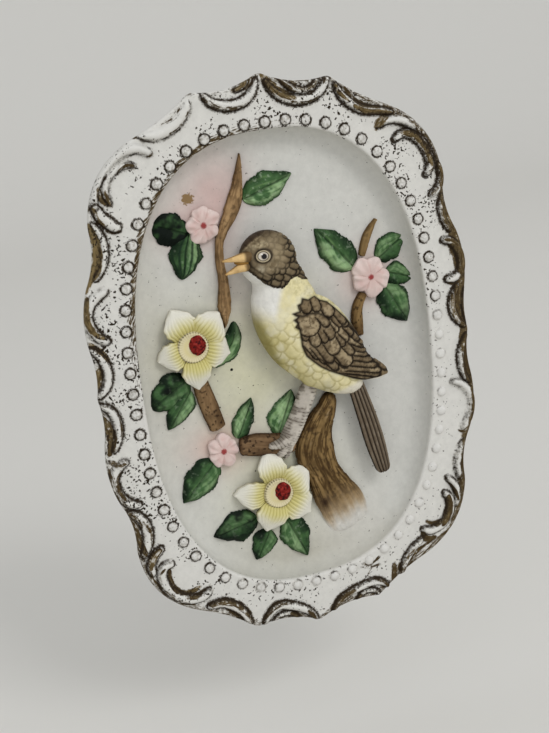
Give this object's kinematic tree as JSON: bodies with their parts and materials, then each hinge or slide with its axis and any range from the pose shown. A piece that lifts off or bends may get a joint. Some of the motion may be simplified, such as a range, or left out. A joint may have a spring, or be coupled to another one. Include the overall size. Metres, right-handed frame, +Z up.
{
  "type": "decorative wall plaque",
  "caption": "Oval bisque porcelain wall plaque with a beaded, scrolled border and a high-relief bird on a branch with applied flowers and leaves.",
  "frame": {"origin": "the mount wall_face: middle of the top of the foot ring's flat back, between the two hanging holes, where the plaque lies against the wall", "axes": "+X to the right seen from the front, +Y into the wall, +Z up; the decorated front faces -Y"},
  "size_m": [0.1322, 0.0247, 0.1884],
  "materials": {
    "white_bisque": "matt unglazed white bisque with rubbed dark gold in the hollows",
    "bird_glaze": "matt painted bisque, pale yellow breast and grey-brown feathers",
    "yellow_petal": "matt painted bisque, pale yellow fading to white",
    "pink_petal": "matt painted bisque, pale pink",
    "leaf_glaze": "satin painted bisque, green shading to dark green"
  },
  "bodies": {
    "root": {"plate": "white_bisque", "bird": "bird_glaze", "yellow_flower_upper": "yellow_petal", "yellow_flower_lower": "yellow_petal", "pink_flower_upper": "pink_petal", "pink_flower_left": "pink_petal", "pink_flower_right": "pink_petal", "leaf_top": "leaf_glaze", "leaf_upper_left_blunt": "leaf_glaze", "leaf_upper_left_folded": "leaf_glaze", "leaf_by_upper_flower": "leaf_glaze", "leaf_far_left": "leaf_glaze", "leaf_left": "leaf_glaze", "leaf_middle_small": "leaf_glaze", "leaf_middle": "leaf_glaze", "leaf_lower_left": "leaf_glaze", "leaf_low_left": "leaf_glaze", "leaf_low_middle": "leaf_glaze", "leaf_low_right": "leaf_glaze", "leaf_right_cluster_left": "leaf_glaze", "leaf_right_cluster_top": "leaf_glaze", "leaf_right_cluster_side": "leaf_glaze", "leaf_right_cluster_low": "leaf_glaze"}
  },
  "joints": []
}
